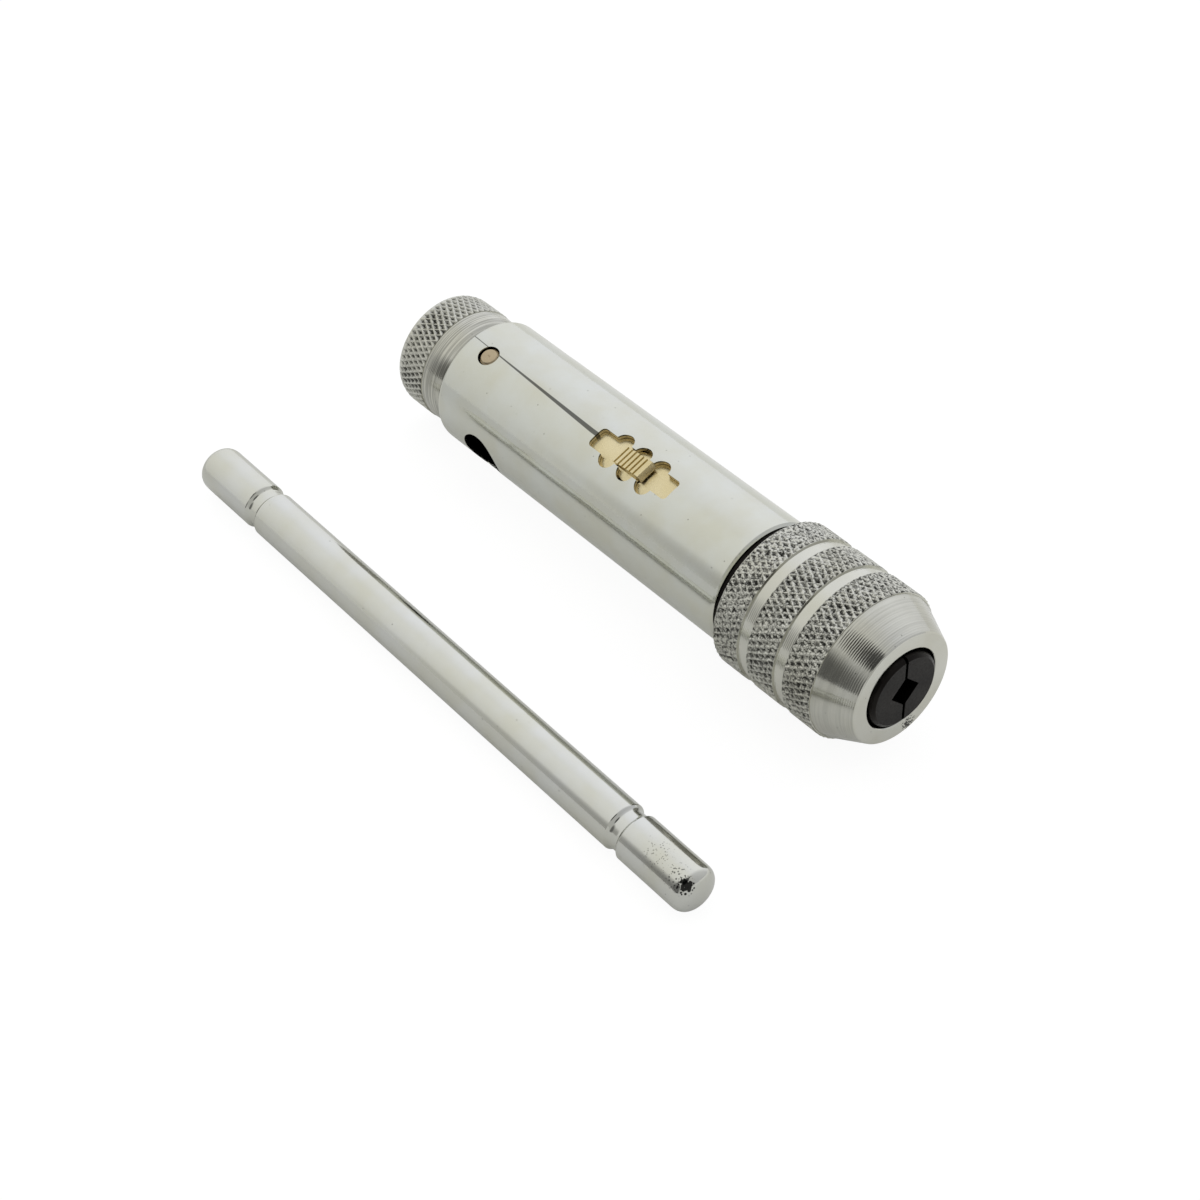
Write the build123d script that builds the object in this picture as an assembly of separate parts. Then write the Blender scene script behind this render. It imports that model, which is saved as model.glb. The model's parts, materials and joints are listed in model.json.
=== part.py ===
from build123d import *
import math
import os

# T-handle tap wrench: ratchet body with a knurled chuck, and its loose cross bar lying beside it.
# The tool frame has X along the body towards the nose, and Z towards the selector.
# A station is the distance from the flat nose face, measured backwards along the body.

# Clearances between pieces
running_gap = 0.05
sliding_gap = 0.10
end_gap = 0.05

# Chuck sleeve outside
sleeve_radius = 10.0
nose_face_radius = 7.4
nose_cone_length = 4.9
nose_cone_radius = 9.7
front_band = 4.5
middle_band = 4.35
rear_band = 4.05
band_groove = 1.7
band_groove_depth = 0.35
band_edge = 0.2
sleeve_length = nose_cone_length + front_band + middle_band + rear_band + 2 * band_groove

# Chuck sleeve inside
mouth_radius = 5.45
mouth_length = 1.0
closing_angle = 15.0
thread_radius = 7.2
thread_pitch = 1.0
ring_seat_radius = 8.2
ring_seat_depth = 1.6
ring_seat_wall = 0.05

# Jaws
jaw_front = 0.6
jaw_front_edge = 0.3
jaw_length = 8.1
jaw_shoulder_radius = 5.9
jaw_half_gap = 0.2
jaw_square = 3.07
jaw_opening = 1.3
tenon_length = 5.0
tenon_width = 7.6
tenon_radius = 5.6
jaw_spring_offset = 2.7
jaw_spring_radius = 0.5
jaw_spring_wire = 0.22
jaw_spring_turns = 5
jaw_spring_hole = 0.6
jaw_spring_depth = 2.2

# Body (barrel)
barrel_radius = 8.7
body_gap = 1.7
barrel_length = 53.5
barrel_rear_round = 0.8
barrel_front_edge = 0.3
barrel_front = sleeve_length + body_gap
barrel_rear = barrel_front + barrel_length
chamber_depth = 16.9
chamber_wall = 2.1
rear_bearing = 1.34

# Spindle
flange_radius = 8.2
flange_thickness = 0.45
washer_thickness = 0.4
shank_bore_radius = 3.2
shank_bore_depth = 13.0
spindle_tail = 2.2
rear_washer_thickness = 0.55
rear_washer_width = 2.0
clip_thickness = 0.7
clip_groove_depth = 0.5
clip_height = 1.4
clip_opening = 50.0

# Ratchet
tooth_count = 12
tooth_height = 1.1
tooth_gap = 1.3
tooth_below_pivot = 0.6
tooth_inset = 0.1
waist_inset = 0.05
ring_inner_end = 5.6
ring_outer_end = 10.2

# Selector window, plate and button
notch_spacing = 3.36
notch_radius = 1.3
notch_reach = 2.72
window_length = 14.3
window_width = 3.04
window_corner = 0.6
skin = 0.65
pocket_half_width = 3.1
slide_half_length = 11.1
slide_thickness = 1.7
cam_rib_radius = 0.9
button_radius = 2.3
button_well = 2.6
button_thickness = 0.65
press_travel = 0.25
thumb_lift = 0.3
thumb_rear = 0.5
thumb_length = 5.4
thumb_width = 2.6
thumb_height = 1.2
rib_count = 6
rib_pitch = 0.745
rib_depth = 0.22
rib_width = 0.3

# Pawl rocker
pawl_half_length = 9.5
blade_start = 6.5
blade_width = 1.1
blade_engagement = 0.35
blade_bevel = 0.45
pawl_width = 2.6
cam_depth = 0.65
pawl_swing = 4.0
pivot_below_cam = 0.9
pivot_radius = 0.5
hub_radius = 0.95
beam_above_pivot = 0.2
beam_end_height = 0.55
cam_half_length = 4.2
cage_half_length = 10.6
cage_end = 0.8
pawl_side_gap = 0.15

# End knob, its pin and the ball catch for the bar
knob_radius = 8.04
knob_length = 9.6
knurl_length = 5.7
knob_neck = 2.3
knob_neck_small = 7.5
knob_round = 1.2
plug_length = 14.2
pin_setback = 4.5
pin_radius = 1.3
pin_hole_radius = 1.48
pin_sink = 0.12
pin_length = 4.58
ball_radius = 1.4
ball_travel = 0.35
catch_lip = 0.35
catch_screw_length = 4.0
catch_screw_depth = 1.5
catch_socket = 1.5
catch_spring_wire = 0.35
catch_spring_turns = 6

# Cross bar and the hole that takes it
bar_radius = 3.06
bar_length = 95.5
bar_hole_radius = 3.3
bar_hole_chamfer = 0.35
bar_hole_setback = 8.6
bar_end_round = 2.2
bar_groove_from_end = 12.35
bar_groove_radius = 0.9
bar_groove_depth = 0.45

# How the pieces lie on the table
body_roll = 21.2
bar_spacing = 33.6
nose_inset = 4.17
overall_length = barrel_rear + knob_length


# A drawing plane seen from the side: its own Y is the tool's Z
side_plane = Plane(origin=(0, 0, 0), x_dir=(1, 0, 0), z_dir=(0, -1, 0))


def turned(corners):
    """Solid of revolution about the tool axis from (station, radius) corners."""
    outline = Polyline(*[(-station, radius) for station, radius in corners], close=True)
    return revolve(make_face(outline), Axis.X)


def tube(start, end, outer, inner):
    """Plain ring or bush between two stations."""
    return turned([(start, inner), (start, outer), (end, outer), (end, inner)])


def rod(start, end, radius):
    """Plain round bar on the tool axis between two stations."""
    return turned([(start, 0), (start, radius), (end, radius), (end, 0)])


def rim(solid, station, radius):
    """The round edges of a turned solid at one station and radius."""
    return [
        edge
        for edge in solid.edges().filter_by(GeomType.CIRCLE)
        if abs(edge.arc_center.X + station) < 0.01 and abs(edge.radius - radius) < 0.01
    ]


def block(start, end, half_width, low, high):
    """Box across the tool axis between two stations, with its height range along Z."""
    size = Box(end - start, 2 * half_width, high - low)
    return Pos(-(start + end) / 2, 0, (low + high) / 2) * size


def post(station, radius, low, high):
    """Round bar along Z at one station, between two heights."""
    return Pos(-station, 0, (low + high) / 2) * Cylinder(radius, high - low)


def helix_spring(radius, wire, turns, length):
    """Compression spring of six-sided wire standing on the XY plane along +Z."""
    path = Helix(pitch=(length - wire) / turns, height=length - wire, radius=radius)
    section = Plane(origin=path @ 0, z_dir=path % 0) * RegularPolygon(wire / 2, 6)
    return Pos(0, 0, wire / 2) * sweep(section, path=path, is_frenet=True)


# Values that several pieces share
cone_slope = math.tan(math.radians(closing_angle))
thread_bore_radius = thread_radius + running_gap
cone_end = mouth_length + (thread_bore_radius - mouth_radius) / cone_slope
spindle_front = jaw_length - jaw_front + 0.3
tenon_end = spindle_front + tenon_length - 0.3
flange_front = barrel_front - end_gap - washer_thickness - flange_thickness
bearing_end = barrel_rear - chamber_depth
bar_hole_station = barrel_rear - bar_hole_setback
pin_station = barrel_rear - pin_setback
pin_top = barrel_radius - pin_sink
pin_tip_height = pin_top - pin_length
chamber_radius = barrel_radius - chamber_wall
plug_radius = chamber_radius - running_gap
plug_front = barrel_rear - plug_length
spindle_rear = bearing_end + spindle_tail
pocket_top = barrel_radius - skin
slide_top = pocket_top - running_gap
slide_bottom = slide_top - slide_thickness
pocket_half_length = slide_half_length + notch_spacing + 0.3
selector_station = bearing_end - rear_bearing - pocket_half_length
cage_top = slide_bottom - sliding_gap
pawl_valley = slide_bottom - cam_depth
pivot_height = pawl_valley - pivot_below_cam
beam_bottom = pivot_height + beam_above_pivot
beam_end_top = beam_bottom + beam_end_height
tooth_radius = pivot_height - tooth_below_pivot
tooth_root = tooth_radius - tooth_height
waist_radius = tooth_root - waist_inset
journal_radius = tooth_radius + tooth_inset
bore_radius = journal_radius + running_gap
cam_radius = notch_spacing / (2 * math.sin(math.radians(pawl_swing)))
blade_tip = tooth_radius - blade_engagement
rib_tip = pawl_valley + running_gap
catch_bore_radius = ball_radius + sliding_gap
ball_station = bar_hole_station + bar_hole_radius + running_gap + ball_radius
catch_lip_radius = math.sqrt(ball_radius**2 - (ball_radius + running_gap - ball_travel - catch_lip) ** 2)
spring_start = ball_station + ball_radius
screw_rear = overall_length - catch_screw_depth
screw_front = screw_rear - catch_screw_length


def make_barrel():
    """Round body with its bearing bore, rear chamber, selector pocket, window and cross hole."""
    barrel = rod(barrel_front, barrel_rear, barrel_radius)
    barrel = fillet(rim(barrel, barrel_rear, barrel_radius), barrel_rear_round)
    barrel = chamfer(rim(barrel, barrel_front, barrel_radius), barrel_front_edge)
    barrel -= rod(barrel_front - 1, bearing_end + 1, bore_radius)
    barrel -= rod(bearing_end, barrel_rear + 1, chamber_radius)
    barrel -= selector_pocket()
    barrel -= selector_window()
    barrel -= cross_hole(barrel_radius)
    barrel -= post(pin_station, pin_hole_radius, pin_tip_height, barrel_radius + 1)
    return barrel


def selector_pocket():
    """Stepped pocket above the bore: the cage sits in its lower step, the plate slides above."""
    cage_room = cage_half_length + running_gap
    lower = block(
        selector_station - cage_room, selector_station + cage_room, pocket_half_width, 0, slide_bottom
    )
    upper = block(
        selector_station - pocket_half_length,
        selector_station + pocket_half_length,
        pocket_half_width,
        cage_top,
        barrel_radius,
    )
    return lower + (upper & rod(barrel_front, bearing_end, pocket_top))


def selector_window():
    """Slot with three pairs of round notches, one pair for each selector position."""
    outline = RectangleRounded(window_length, window_width, window_corner)
    for step in (-1, 0, 1):
        for side in (-1, 1):
            centre = (step * notch_spacing, side * (notch_reach - notch_radius))
            outline += Pos(*centre) * Circle(notch_radius)
    cutter = extrude(outline, barrel_radius - slide_bottom)
    return Pos(-selector_station, 0, slide_bottom + skin) * cutter


def cross_hole(wall_radius):
    """Hole for the cross bar, through both walls along Y, eased where it breaks out."""
    hole = Rot(X=90) * Cylinder(bar_hole_radius, 2 * wall_radius + 2)
    mouth_depth = wall_radius - math.sqrt(wall_radius**2 - bar_hole_radius**2)
    for side in (-1, 1):
        flare = Cone(bar_hole_radius, bar_hole_radius + 2 * bar_hole_chamfer, 2 * bar_hole_chamfer)
        start = wall_radius - mouth_depth + bar_hole_chamfer / 2
        hole += Pos(0, side * start, 0) * Rot(X=-90 * side) * flare
    return Pos(-bar_hole_station, 0, 0) * hole


def make_end_knob():
    """Knurled end knob with the plug that fills the back of the body."""
    head_start = overall_length - knurl_length
    neck_start = head_start - knob_neck
    knob = turned(
        [
            (plug_front, 0),
            (plug_front, plug_radius),
            (barrel_rear, plug_radius),
            (barrel_rear, knob_neck_small),
            (neck_start, knob_radius),
            (overall_length, knob_radius),
            (overall_length, 0),
        ]
    )
    knob = fillet(rim(knob, overall_length, knob_radius), knob_round)
    knob -= Pos(-bar_hole_station, 0, 0) * Rot(X=90) * Cylinder(bar_hole_radius, 2 * barrel_radius)
    knob -= rod(ball_station - ball_radius - 1, screw_rear, catch_lip_radius)
    knob -= rod(bar_hole_station + bar_hole_radius + catch_lip, overall_length + 1, catch_bore_radius)
    knob -= post(pin_station, pin_radius, pin_tip_height, barrel_radius + 1)
    return knob


def make_knob_pin():
    """Brass pin, sunk a little below the surface, that holds the knob in the body."""
    pin = post(pin_station, pin_radius, pin_tip_height, pin_top)
    top = pin.edges().filter_by(GeomType.CIRCLE).sort_by(Axis.Z)[-1]
    pin = chamfer(top, 0.25)
    dimple = Pos(-pin_station, 0, pin_top) * Cone(0, 0.45, 0.2)
    return pin - dimple


def make_detent_ball():
    """Ball that springs into the groove of the cross bar."""
    return Pos(-ball_station, 0, 0) * Sphere(ball_radius)


def make_detent_spring():
    """Coil spring between the ball and its screw."""
    spring = helix_spring(
        catch_bore_radius - catch_spring_wire / 2 - sliding_gap,
        catch_spring_wire,
        catch_spring_turns,
        screw_front - spring_start - 2 * end_gap,
    )
    return Pos(-spring_start - end_gap, 0, 0) * Rot(Y=-90) * spring


def make_detent_screw():
    """Socket set screw that closes the ball catch at the back of the knob."""
    screw = rod(screw_front, screw_rear, catch_bore_radius - running_gap)
    screw = chamfer(rim(screw, screw_rear, catch_bore_radius - running_gap), 0.2)
    socket = RegularPolygon(catch_socket / math.sqrt(3), 6)
    cutter = Plane(origin=(-screw_rear, 0, 0), z_dir=(1, 0, 0)) * socket
    return screw - extrude(cutter, catch_screw_length / 2)


def ratchet_ring(start, end):
    """One toothed ring of the spindle: square-sided teeth, one groove facing the selector."""
    gap_height = tooth_radius - tooth_root + 1
    profile = Circle(tooth_radius)
    for index in range(tooth_count):
        notch = Pos(0, tooth_root + gap_height / 2) * Rectangle(tooth_gap, gap_height)
        profile -= Rot(Z=index * 360 / tooth_count) * notch
    return extrude(Plane(origin=(-end, 0, 0), x_dir=(0, 1, 0), z_dir=(1, 0, 0)) * profile, end - start)


def make_spindle():
    """Black spindle: slotted screw nose, flange, journals and two ratchet rings."""
    clip_station = bearing_end + end_gap + rear_washer_thickness
    clip_floor = journal_radius - clip_groove_depth
    clip_end = clip_station + clip_thickness + end_gap
    front_ring = selector_station - ring_outer_end
    rear_ring = selector_station + ring_outer_end
    spindle = turned(
        [
            (spindle_front, 0),
            (spindle_front, thread_radius),
            (flange_front, thread_radius),
            (flange_front, flange_radius),
            (flange_front + flange_thickness, flange_radius),
            (flange_front + flange_thickness, journal_radius),
            (front_ring, journal_radius),
            (front_ring, waist_radius),
            (rear_ring, waist_radius),
            (rear_ring, journal_radius),
            (clip_station, journal_radius),
            (clip_station, clip_floor),
            (clip_end, clip_floor),
            (clip_end, journal_radius),
            (spindle_rear, journal_radius),
            (spindle_rear, 0),
        ]
    )
    spindle = chamfer(rim(spindle, spindle_rear, journal_radius), 0.4)
    spindle = chamfer(rim(spindle, spindle_front, thread_radius), 0.5)
    spindle += ratchet_ring(front_ring, selector_station - ring_inner_end)
    spindle += ratchet_ring(selector_station + ring_inner_end, rear_ring)
    spindle -= rod(spindle_front - 1, spindle_front + shank_bore_depth, shank_bore_radius)
    slot = block(
        spindle_front - 1,
        tenon_end + end_gap,
        tenon_width / 2 + running_gap,
        -thread_radius - 1,
        thread_radius + 1,
    )
    return spindle - Rot(X=jaw_turn) * Rot(X=90) * slot


def make_jaw(side):
    """One half-round jaw with its V notch, and the tenon that slides in the spindle slot."""
    play = jaw_half_gap + running_gap
    front = -jaw_front
    shoulder = jaw_shoulder_radius - play
    front_radius = mouth_radius + (front - mouth_length) * cone_slope - play
    shoulder_station = mouth_length + (jaw_shoulder_radius - mouth_radius) / cone_slope
    head_end = front + jaw_length
    jaw = turned(
        [
            (front, 0),
            (front, front_radius - jaw_front_edge),
            (front + jaw_front_edge, front_radius + jaw_front_edge * cone_slope),
            (shoulder_station, shoulder),
            (head_end, shoulder),
            (head_end, 0),
        ]
    )
    tenon = block(head_end - 1, tenon_end, tenon_width / 2, -tenon_radius, tenon_radius)
    jaw += (Rot(X=90) * tenon) & rod(head_end - 1, tenon_end, tenon_radius)
    jaw &= Pos(0, sleeve_radius, 0) * Box(3 * tenon_end, 2 * sleeve_radius, 2 * sleeve_radius)
    notch_side = jaw_square - jaw_half_gap * math.sqrt(2)
    notch = Rot(X=45) * Box(3 * tenon_end, notch_side, notch_side)
    jaw -= notch
    for height in (-jaw_spring_offset, jaw_spring_offset):
        seat = Pos(-spring_station, 0, height) * Rot(X=90) * Cylinder(jaw_spring_hole, 2 * jaw_spring_depth)
        jaw -= seat
    jaw = Pos(0, jaw_half_gap, 0) * jaw
    return Rot(X=jaw_turn + (0 if side > 0 else 180)) * jaw


def make_jaw_springs():
    """The two small springs that push the jaws apart."""
    length = 2 * (jaw_spring_depth + jaw_half_gap) - 2 * (jaw_half_gap + end_gap)
    springs = []
    coil_radius = jaw_spring_radius - jaw_spring_wire / 2
    for height in (-jaw_spring_offset, jaw_spring_offset):
        coil = helix_spring(coil_radius, jaw_spring_wire, jaw_spring_turns, length)
        springs.append(Pos(-spring_station, length / 2, height) * Rot(X=90) * coil)
    return Rot(X=jaw_turn) * Compound(springs)


def make_chuck_sleeve():
    """Knurled sleeve: three bands, two grooves, cone nose, closing cone and screw bore inside."""
    groove_floor = sleeve_radius - band_groove_depth
    first_groove = nose_cone_length + front_band
    second_groove = first_groove + band_groove + middle_band
    corners = [
        (0, mouth_radius),
        (0, nose_face_radius),
        (nose_cone_length - band_edge, nose_cone_radius),
        (nose_cone_length + band_edge, sleeve_radius),
    ]
    for groove in (first_groove, second_groove):
        corners += [
            (groove, sleeve_radius),
            (groove, groove_floor),
            (groove + band_groove, groove_floor),
            (groove + band_groove, sleeve_radius),
        ]
    corners += [
        (sleeve_length - band_edge, sleeve_radius),
        (sleeve_length, sleeve_radius - band_edge),
        (sleeve_length, ring_seat_radius),
        (sleeve_length - ring_seat_depth, ring_seat_radius),
        (sleeve_length - ring_seat_depth, thread_bore_radius),
        (cone_end, thread_bore_radius),
        (mouth_length, mouth_radius),
    ]
    return turned(corners)


def make_sleeve_ring():
    """Rubber friction ring in the back of the sleeve, which keeps the setting of the chuck."""
    start = sleeve_length - ring_seat_depth + end_gap
    end = sleeve_length - 0.35
    ring = tube(start, end, ring_seat_radius - ring_seat_wall, thread_bore_radius)
    return chamfer(rim(ring, end, ring_seat_radius - ring_seat_wall), 0.25)


def make_thrust_washer():
    """Washer between the spindle flange and the front of the body."""
    start = flange_front + flange_thickness
    return tube(start, start + washer_thickness, flange_radius, journal_radius + running_gap)


def make_rear_washer():
    """Washer that the clip holds against the bearing bore."""
    start = bearing_end + end_gap
    inner = journal_radius + running_gap
    return tube(start, start + rear_washer_thickness, inner + rear_washer_width, inner)


def make_circlip():
    """Open spring clip in the groove at the back of the spindle."""
    start = bearing_end + end_gap + rear_washer_thickness
    inner = journal_radius - clip_groove_depth + running_gap
    clip = tube(start, start + clip_thickness, inner + clip_height, inner)
    half = inner + clip_height + 1
    gap_reach = half * math.tan(math.radians(clip_opening / 2))
    wedge = make_face(Polyline((0, 0), (half, -gap_reach), (half, gap_reach), close=True))
    cutter = Plane(origin=(-start - clip_thickness - 1, 0, 0), x_dir=(0, 1, 0), z_dir=(1, 0, 0)) * wedge
    return clip - extrude(cutter, clip_thickness + 2)


def make_selector_slide():
    """Brass plate under the window, with the well of the button and the rib that works the pawl."""
    start = selector_station - slide_half_length
    end = selector_station + slide_half_length
    plate = block(start, end, pocket_half_width - running_gap, slide_bottom, barrel_radius)
    plate &= rod(barrel_front, bearing_end, slide_top)
    rib_height = rib_tip + cam_rib_radius
    rib = Pos(-selector_station, 0, rib_height) * Rot(X=90) * Cylinder(cam_rib_radius, pawl_width)
    plate += rib
    well_floor = slide_top - button_thickness - press_travel - 0.1
    return plate - post(selector_station, button_well, well_floor, barrel_radius)


def make_selector_button():
    """Brass button: round disc under the skin and a ribbed thumb ramp in the slot."""
    disc_bottom = slide_top - button_thickness
    disc = post(selector_station, button_radius, disc_bottom, barrel_radius)
    disc &= rod(barrel_front, bearing_end, slide_top)
    rear = -thumb_length / 2
    front = thumb_length / 2
    foot = button_radius - 0.2
    top = thumb_height
    outline = Polyline(
        (rear, thumb_lift),
        (rear, thumb_rear),
        (front - 0.9, top),
        (front - 0.4, top),
        (front, thumb_lift),
        (foot, thumb_lift),
        (foot, -0.3),
        (-foot, -0.3),
        (-foot, thumb_lift),
        close=True,
    )
    ramp = extrude(side_plane * make_face(outline), thumb_width / 2, both=True)
    slope = math.degrees(math.atan2(top - thumb_rear, thumb_length - 0.9))
    for index in range(rib_count):
        along = rear + 0.45 + index * rib_pitch
        height = thumb_rear + (along - rear) * math.tan(math.radians(slope))
        cut = Pos(along, 0, height) * Rot(Y=-slope) * Box(rib_width, thumb_width + 1, 2 * rib_depth)
        ramp -= cut
    return disc + Pos(-selector_station, 0, slide_top) * ramp


def make_selector_spring():
    """Wave ring under the button's disc."""
    floor = slide_top - button_thickness - press_travel - 0.1
    height = press_travel + 0.1
    ring = Cylinder(button_radius - 0.1, height) - Cylinder(button_radius - 0.6, height)
    wave = Pos(-selector_station, 0, floor + height / 2) * ring
    for index in range(3):
        hollow = Rot(Z=index * 120) * Pos(button_radius, 0, 0) * Rot(Y=90) * Cylinder(0.9, 2)
        wave -= Pos(-selector_station, 0, floor - 0.68) * hollow
        wave -= Pos(-selector_station, 0, floor + height + 0.68) * Rot(Z=60) * hollow
    return wave


def make_pawl_cage():
    """Frame in the lower pocket that carries the pawl on its pin."""
    start = selector_station - cage_half_length
    end = selector_station + cage_half_length
    cage = block(start, end, pocket_half_width - running_gap, waist_radius, cage_top)
    cage -= rod(start - 1, end + 1, bore_radius + running_gap)
    room = pawl_width / 2 + pawl_side_gap
    cage -= block(start + cage_end, end - cage_end, room, 0, cage_top + 1)
    pivot = Pos(-selector_station, 0, pivot_height) * Rot(X=90)
    return cage - pivot * Cylinder(pivot_radius, 4 * pocket_half_width)


def make_pawl_pin():
    """Pin that the pawl rocks on, pressed in the cage."""
    pin = Cylinder(pivot_radius, 2 * (pocket_half_width - running_gap))
    return Pos(-selector_station, 0, pivot_height) * Rot(X=90) * pin


def make_pawl_rocker():
    """Two-nosed pawl: one nose drives each way, and both hold when the selector is central."""
    rise = cam_half_length**2 / (2 * cam_radius)
    crest = pawl_valley + rise
    top = ThreePointArc((-cam_half_length, crest), (0, pawl_valley), (cam_half_length, crest))
    rest = Polyline(
        (cam_half_length, crest),
        (pawl_half_length, beam_end_top),
        (pawl_half_length, beam_bottom),
        (-pawl_half_length, beam_bottom),
        (-pawl_half_length, beam_end_top),
        (-cam_half_length, crest),
    )
    side_view = make_face(top + rest)
    beam = extrude(side_plane * side_view, pawl_width / 2, both=True)
    hub = Pos(0, 0, pivot_height) * Rot(X=90) * Cylinder(hub_radius, pawl_width)
    rocker = beam + hub
    for side in (-1, 1):
        middle = side * (blade_start + pawl_half_length) / 2
        height = beam_bottom + 0.2 - blade_tip
        blade = Box(pawl_half_length - blade_start, blade_width, height)
        blade = Pos(middle, 0, blade_tip + height / 2) * blade
        edges = blade.edges().filter_by(Axis.X).sort_by(Axis.Z)[:2].sort_by(Axis.Y)
        rocker += chamfer(edges[0 if side < 0 else 1], blade_bevel)
    rocker -= Pos(0, 0, pivot_height) * Rot(X=90) * Cylinder(pivot_radius + running_gap, 2 * pawl_width)
    return Pos(-selector_station, 0, 0) * rocker


def make_cross_bar():
    """Loose cross bar: round ends and a catch groove near each end, lying on the table."""
    half = bar_length / 2
    bar = Rot(Y=90) * Cylinder(bar_radius, bar_length)
    bar = fillet(bar.edges().filter_by(GeomType.CIRCLE), bar_end_round)
    groove_centre = bar_radius - bar_groove_depth + bar_groove_radius
    for side in (-1, 1):
        ring = Torus(groove_centre, bar_groove_radius)
        bar -= Pos(side * (half - bar_groove_from_end), 0, 0) * Rot(Y=90) * ring
    return bar


# Where the pieces lie: the sleeve's back edge and the body's back edge both touch the table
jaw_turn = -body_roll
spring_station = spindle_front + tenon_length / 2
front_rest = sleeve_length - band_edge
rear_rest = barrel_rear - barrel_rear_round
tilt = math.degrees(math.atan2(sleeve_radius - barrel_radius, rear_rest - front_rest))
nose_height = front_rest * math.sin(math.radians(tilt)) + sleeve_radius * math.cos(math.radians(tilt))
nose_x = bar_length / 2 - nose_inset
body_y = (bar_spacing + bar_radius - sleeve_radius) / 2
bar_y = body_y - bar_spacing
table_place = Pos(nose_x, body_y, nose_height) * Rot(Y=-tilt) * Rot(X=body_roll)

pieces = {
    "barrel": make_barrel(),
    "end_knob": make_end_knob(),
    "knob_pin": make_knob_pin(),
    "detent_ball": make_detent_ball(),
    "detent_spring": make_detent_spring(),
    "detent_screw": make_detent_screw(),
    "spindle": make_spindle(),
    "thrust_washer": make_thrust_washer(),
    "rear_washer": make_rear_washer(),
    "circlip": make_circlip(),
    "selector_slide": make_selector_slide(),
    "selector_button": make_selector_button(),
    "selector_spring": make_selector_spring(),
    "pawl_cage": make_pawl_cage(),
    "pawl_pin": make_pawl_pin(),
    "pawl_rocker": make_pawl_rocker(),
    "chuck_sleeve": make_chuck_sleeve(),
    "sleeve_ring": make_sleeve_ring(),
    "jaw_left": make_jaw(-1),
    "jaw_right": make_jaw(1),
    "jaw_springs": make_jaw_springs(),
}

os.makedirs("parts", exist_ok=True)
for name, solid in pieces.items():
    export_step(table_place * solid, f"parts/{name}.step")
export_step(Pos(0, bar_y, bar_radius) * make_cross_bar(), "parts/cross_bar.step")
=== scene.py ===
# %% [markdown]
# # Ratcheting T-handle tap wrench
# A small hand tool that turns taps: a plated round body, a knurled chuck with two jaws in front, a brass
# selector on its side and a knurled end knob. Its cross bar is pulled out and lies beside it. The packed
# CAD model gives every place and size, so this script only adds what the eye wants: the real knurling,
# the finishes, the light and the camera.

# %% Load the frame
import json
import math
import random

import bmesh
import bpy
from mathutils import Matrix, Vector


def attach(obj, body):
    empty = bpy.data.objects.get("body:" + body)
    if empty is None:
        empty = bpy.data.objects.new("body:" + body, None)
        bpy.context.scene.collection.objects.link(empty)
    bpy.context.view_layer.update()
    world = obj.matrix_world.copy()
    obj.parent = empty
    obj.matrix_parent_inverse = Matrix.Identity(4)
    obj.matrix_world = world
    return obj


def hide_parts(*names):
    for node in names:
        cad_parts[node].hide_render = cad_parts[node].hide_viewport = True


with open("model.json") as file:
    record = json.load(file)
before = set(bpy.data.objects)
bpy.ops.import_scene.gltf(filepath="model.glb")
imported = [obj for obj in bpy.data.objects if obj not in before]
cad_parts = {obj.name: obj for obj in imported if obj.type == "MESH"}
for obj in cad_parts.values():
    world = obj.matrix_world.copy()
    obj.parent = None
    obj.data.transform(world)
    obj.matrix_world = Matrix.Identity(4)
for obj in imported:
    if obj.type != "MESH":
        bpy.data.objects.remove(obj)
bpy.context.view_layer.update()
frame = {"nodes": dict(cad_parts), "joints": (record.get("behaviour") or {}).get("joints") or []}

MM = 0.001

# %% [markdown]
# ## Where the tool lies
# The tool rests on the edge of its chuck sleeve and on the back edge of its body, so its axis leans a
# little. A turned piece is easiest to model straight along X and to place last, and one matrix places
# them all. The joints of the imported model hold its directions: the ratchet turns about the tool's axis,
# and the selector's button is pressed straight towards that axis.
#
# A place along the tool is called a station here: its distance behind the nose face in millimetres. The
# nose face is at X = 0 and the tool lies behind it, so the X of a station is minus its number.

# %% Tool frame from the joints
barrel_front = 22.9
joints = {joint["name"]: joint for joint in frame["joints"]}
forward = Vector(joints["ratchet_spin"]["axis"]).normalized()
selector_up = -Vector(joints["selector_press"]["axis"]).normalized()
sideways = selector_up.cross(forward)
nose = Vector(joints["ratchet_spin"]["pos_m"]) + forward * (barrel_front * MM)
tool_place = Matrix((forward, sideways, selector_up)).transposed().to_4x4()
tool_place.translation = nose
bar_corners = [Vector(corner) for corner in frame["nodes"]["cross_bar"].bound_box]
bar_place = Matrix.Translation(sum(bar_corners, Vector()) / len(bar_corners))
print("nose face centre, mm:", [round(c / MM, 2) for c in nose])
print("cross bar's centre, mm:", [round(c / MM, 2) for c in bar_place.translation])

# %% [markdown]
# ## Camera
# The picture looks down at the tool from about 43 degrees, past the nose. A camera is one object with a
# lens. Its view direction is turned into a rotation with a track quaternion, which is shorter and safer
# than three typed angles.

# %% Camera
nose_to_camera = Vector((138.57, -160.35, 211.28))
view_direction = Vector((-0.55851, 0.46581, -0.68636))
camera_data = bpy.data.cameras.new("camera")
camera_data.lens = 78.13
camera_data.sensor_width = 36.0
camera = bpy.data.objects.new("camera", camera_data)
bpy.context.scene.collection.objects.link(camera)
camera.location = nose + nose_to_camera * MM
camera.rotation_euler = view_direction.to_track_quat("-Z", "Y").to_euler()
bpy.context.scene.camera = camera
bpy.context.scene.view_settings.view_transform = "Standard"
print("camera height above the table, mm:", round(camera.location.z / MM, 1))

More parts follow.
